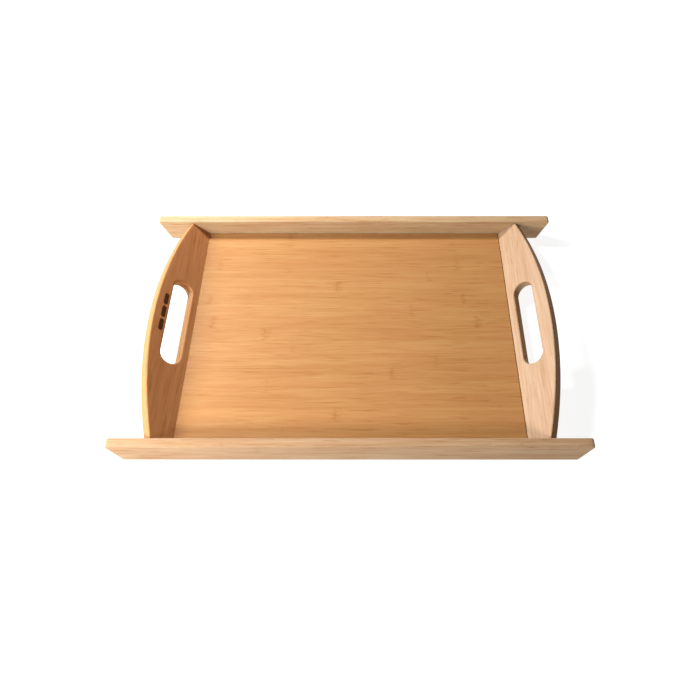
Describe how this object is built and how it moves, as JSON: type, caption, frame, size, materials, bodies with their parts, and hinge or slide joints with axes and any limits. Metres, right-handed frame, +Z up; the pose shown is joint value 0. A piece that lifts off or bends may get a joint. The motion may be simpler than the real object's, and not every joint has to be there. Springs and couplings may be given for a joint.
{
  "type": "serving tray",
  "caption": "Rectangular bamboo serving tray with upright long rails running past two outward-leaning arched end boards that have oblong hand slots.",
  "frame": {"origin": "on the table under the middle of the tray", "axes": "+X along the long rails, towards the right handle board; +Y towards the back rail; +Z up"},
  "size_m": [0.484, 0.3152, 0.0441],
  "materials": {
    "rail_bamboo": "pale natural bamboo, satin lacquer, grain along the rail",
    "handle_bamboo": "natural bamboo, satin lacquer, grain across the tray",
    "panel_bamboo": "warm honey bamboo strips, satin lacquer, grain along the tray",
    "dowel_wood": "plain unfinished dowel"
  },
  "bodies": {
    "root": {"front_rail": "rail_bamboo", "back_rail": "rail_bamboo", "left_handle_board": "handle_bamboo", "right_handle_board": "handle_bamboo", "floor_panel": "panel_bamboo", "lower_dowel_left_front": "dowel_wood", "upper_dowel_left_front": "dowel_wood", "lower_dowel_left_back": "dowel_wood", "upper_dowel_left_back": "dowel_wood", "lower_dowel_right_front": "dowel_wood", "upper_dowel_right_front": "dowel_wood", "lower_dowel_right_back": "dowel_wood", "upper_dowel_right_back": "dowel_wood"}
  },
  "joints": []
}
